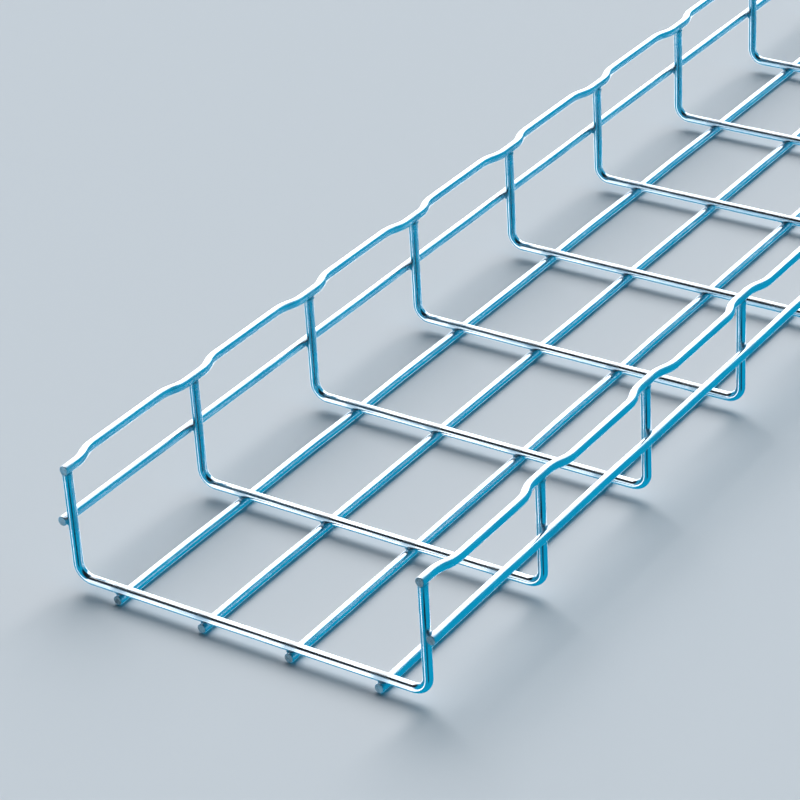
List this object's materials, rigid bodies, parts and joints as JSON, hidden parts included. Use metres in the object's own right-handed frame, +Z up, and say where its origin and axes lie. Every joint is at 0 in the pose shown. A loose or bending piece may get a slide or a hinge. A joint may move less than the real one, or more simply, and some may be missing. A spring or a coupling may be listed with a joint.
{
  "type": "wire mesh cable basket",
  "caption": "Straight length of welded wire mesh cable basket: U-shaped cross wires, straight floor and side wires, and wavy edge wires on top of the walls.",
  "frame": {"origin": "middle of the tray's footprint, on the floor that the floor wires lie on", "axes": "+X along the tray, +Y across it to the left wall, +Z up out of the open top"},
  "size_m": [3.007, 0.214, 0.0695],
  "materials": {
    "cross_wire": "bright electro-zinc plated drawn steel wire, bent and spot welded",
    "long_wire": "bright electro-zinc plated drawn steel wire, straight",
    "edge_wire": "bright electro-zinc plated drawn steel wire, bent into a shallow wave"
  },
  "bodies": {
    "root": {"cross_wire_01": "cross_wire", "cross_wire_02": "cross_wire", "cross_wire_03": "cross_wire", "cross_wire_04": "cross_wire", "cross_wire_05": "cross_wire", "cross_wire_06": "cross_wire", "cross_wire_07": "cross_wire", "cross_wire_08": "cross_wire", "cross_wire_09": "cross_wire", "cross_wire_10": "cross_wire", "cross_wire_11": "cross_wire", "cross_wire_12": "cross_wire", "cross_wire_13": "cross_wire", "cross_wire_14": "cross_wire", "cross_wire_15": "cross_wire", "cross_wire_16": "cross_wire", "cross_wire_17": "cross_wire", "cross_wire_18": "cross_wire", "cross_wire_19": "cross_wire", "cross_wire_20": "cross_wire", "cross_wire_21": "cross_wire", "cross_wire_22": "cross_wire", "cross_wire_23": "cross_wire", "cross_wire_24": "cross_wire", "cross_wire_25": "cross_wire", "cross_wire_26": "cross_wire", "cross_wire_27": "cross_wire", "cross_wire_28": "cross_wire", "cross_wire_29": "cross_wire", "cross_wire_30": "cross_wire", "cross_wire_31": "cross_wire", "floor_wire_1": "long_wire", "floor_wire_2": "long_wire", "floor_wire_3": "long_wire", "floor_wire_4": "long_wire", "side_wire_left": "long_wire", "side_wire_right": "long_wire", "edge_wire_left": "edge_wire", "edge_wire_right": "edge_wire"}
  },
  "joints": []
}
